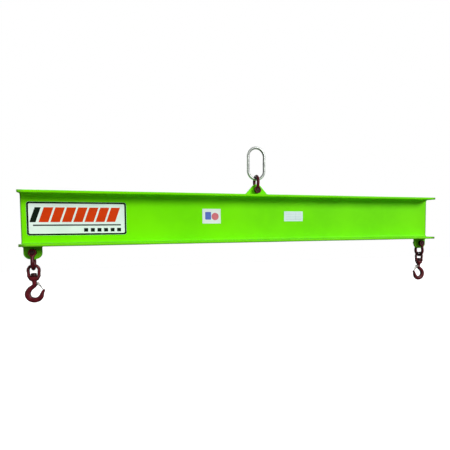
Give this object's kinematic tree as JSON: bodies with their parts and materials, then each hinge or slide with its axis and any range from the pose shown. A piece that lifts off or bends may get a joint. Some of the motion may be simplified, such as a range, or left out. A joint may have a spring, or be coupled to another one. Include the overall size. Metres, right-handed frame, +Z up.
{
  "type": "spreader beam",
  "caption": "Wide-flange spreader beam hung from an oblong master link and shackle, with a shackle and latched swivel hook at each end.",
  "frame": {"origin": "seat of the crane's hook, at the inner top of the master link", "axes": "+X along the beam to its right end as seen from the front, +Y to the back, +Z up; the labels are on the front, -Y side"},
  "size_m": [1.905, 0.134, 0.6453],
  "materials": {
    "green_paint": "semi-gloss enamel",
    "weld_paint": "semi-gloss enamel over a weld bead",
    "label_film": "satin vinyl film",
    "decal_film": "satin vinyl film",
    "plate_film": "satin film",
    "link_steel": "bright alloy steel",
    "forged_red": "forged steel with dark red paint",
    "pin_paint": "forged steel with red paint",
    "zinc_latch": "zinc plated sheet",
    "small_steel": "oiled steel wire and pins"
  },
  "bodies": {
    "master_link": {"master_link": "link_steel"},
    "top_shackle": {"top_shackle_bow": "forged_red", "top_shackle_pin": "pin_paint"},
    "beam": {"wide_flange_beam": "green_paint", "top_lug": "green_paint", "left_end_lug": "green_paint", "right_end_lug": "green_paint", "top_lug_weld": "weld_paint", "left_lug_weld": "weld_paint", "right_lug_weld": "weld_paint", "big_label": "label_film", "square_decal": "decal_film", "rating_plate": "plate_film"},
    "left_shackle": {"left_shackle_bow": "forged_red", "left_shackle_pin": "pin_paint"},
    "left_eye": {"left_swivel_eye": "forged_red"},
    "left_hook": {"left_hook": "forged_red", "left_swivel_nut": "forged_red", "left_nut_pin": "small_steel", "left_latch_spring": "small_steel"},
    "left_latch": {"left_latch": "zinc_latch", "left_latch_pin": "small_steel"},
    "right_shackle": {"right_shackle_bow": "forged_red", "right_shackle_pin": "pin_paint"},
    "right_eye": {"right_swivel_eye": "forged_red"},
    "right_hook": {"right_hook": "forged_red", "right_swivel_nut": "forged_red", "right_nut_pin": "small_steel", "right_latch_spring": "small_steel"},
    "right_latch": {"right_latch": "zinc_latch", "right_latch_pin": "small_steel"}
  },
  "joints": [
    {"name": "shackle_swing", "type": "hinge", "parent": "master_link", "child": "top_shackle", "pos_m": [0, 0, -0.13335], "axis": [1, 0, 0], "range_deg": [-60, 60]},
    {"name": "beam_tilt", "type": "hinge", "parent": "top_shackle", "child": "beam", "pos_m": [0, 0, -0.1825], "axis": [0, 1, 0], "range_deg": [-60, 60]},
    {"name": "left_shackle_swing", "type": "hinge", "parent": "beam", "child": "left_shackle", "pos_m": [-0.9145, 0, -0.4385], "axis": [0, 1, 0], "range_deg": [-75, 75]},
    {"name": "left_eye_tilt", "type": "hinge", "parent": "left_shackle", "child": "left_eye", "pos_m": [-0.9145, 0, -0.4885], "axis": [1, 0, 0], "range_deg": [-60, 60]},
    {"name": "left_hook_swivel", "type": "hinge", "parent": "left_eye", "child": "left_hook", "pos_m": [-0.9145, 0, -0.5543], "axis": [0, 0, 1], "continuous": true},
    {"name": "left_latch_open", "type": "hinge", "parent": "left_hook", "child": "left_latch", "pos_m": [-0.9017, 0, -0.5593], "axis": [0, 1, 0], "range_deg": [0, 50], "stiffness_Nm_per_rad": 0.04, "springref_deg": -28.65, "deforming": ["left_latch_spring"]},
    {"name": "right_shackle_swing", "type": "hinge", "parent": "beam", "child": "right_shackle", "pos_m": [0.9145, 0, -0.4385], "axis": [0, 1, 0], "range_deg": [-75, 75]},
    {"name": "right_eye_tilt", "type": "hinge", "parent": "right_shackle", "child": "right_eye", "pos_m": [0.9145, 0, -0.4885], "axis": [1, 0, 0], "range_deg": [-60, 60]},
    {"name": "right_hook_swivel", "type": "hinge", "parent": "right_eye", "child": "right_hook", "pos_m": [0.9145, 0, -0.5543], "axis": [0, 0, 1], "continuous": true},
    {"name": "right_latch_open", "type": "hinge", "parent": "right_hook", "child": "right_latch", "pos_m": [0.9017, 0, -0.5593], "axis": [0, -1, 0], "range_deg": [0, 50], "stiffness_Nm_per_rad": 0.04, "springref_deg": -28.65, "deforming": ["right_latch_spring"]}
  ]
}
